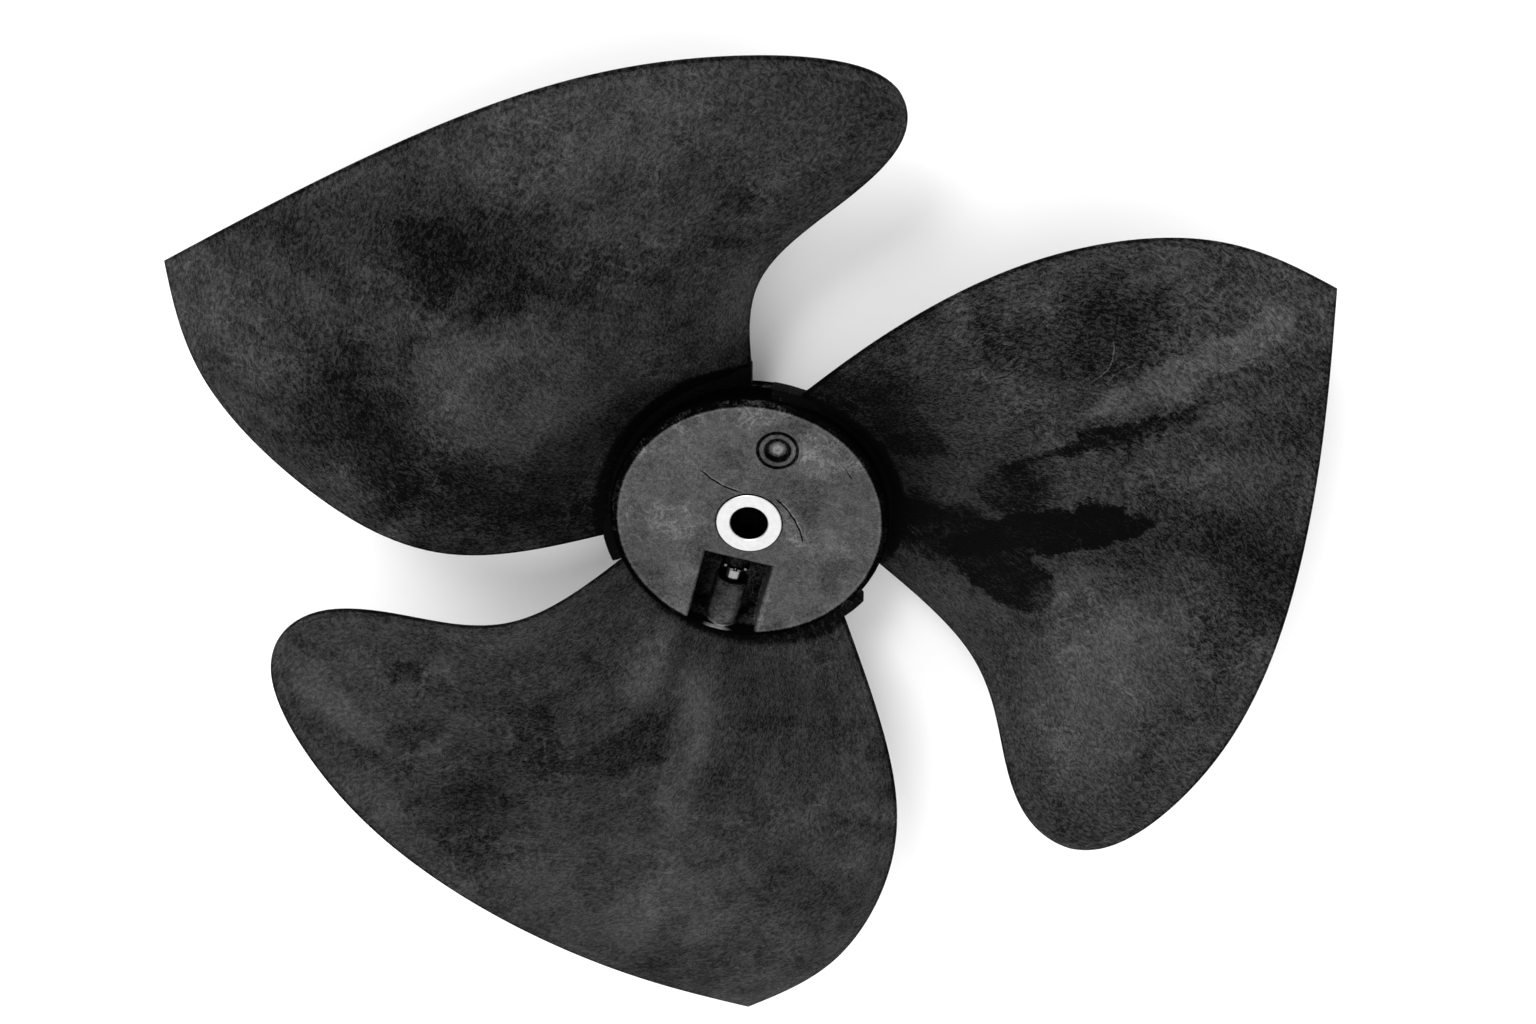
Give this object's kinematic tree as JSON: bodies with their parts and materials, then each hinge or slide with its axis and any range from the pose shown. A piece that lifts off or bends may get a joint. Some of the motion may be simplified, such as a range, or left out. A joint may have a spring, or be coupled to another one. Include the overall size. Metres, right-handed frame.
{
  "type": "axial fan impeller",
  "caption": "Moulded three-blade axial fan wheel with sickle-shaped blades on a short drum hub, a plain metal bore bush and a radial clamp screw reached through a notch.",
  "frame": {"origin": "on the shaft axis, at the back end face of the metal bush", "axes": "+Z along the shaft axis from the back of the hub to its closed front face, -Y from the axis through the middle of the screw notch, +X completes a right-handed frame"},
  "size_m": [0.3672, 0.369, 0.07],
  "materials": {
    "hub_plastic": "matt moulded fine grain",
    "blade_plastic": "matt moulded with flow streaks",
    "bush_metal": "machined face",
    "screw_steel": "black oxide, oiled",
    "washer_steel": "plain zinc"
  },
  "bodies": {
    "wheel": {"hub_shell": "hub_plastic", "blade_1": "blade_plastic", "blade_2": "blade_plastic", "blade_3": "blade_plastic", "bore_bush": "bush_metal"},
    "washer": {"lock_washer": "washer_steel"},
    "screw": {"clamp_screw": "screw_steel"}
  },
  "joints": [
    {"name": "screw_travel", "type": "slide", "parent": "wheel", "child": "washer", "axis": [0, -1, 0], "range_m": [0, 0.003]},
    {"name": "screw_turn", "type": "hinge", "parent": "washer", "child": "screw", "pos_m": [0, -0.022, 0.0267], "axis": [0, -1, 0], "range_deg": [0, 1351]}
  ],
  "couplings": [
    {"joint": "screw_turn", "follows": "screw_travel", "rad_per_m": 7854}
  ]
}
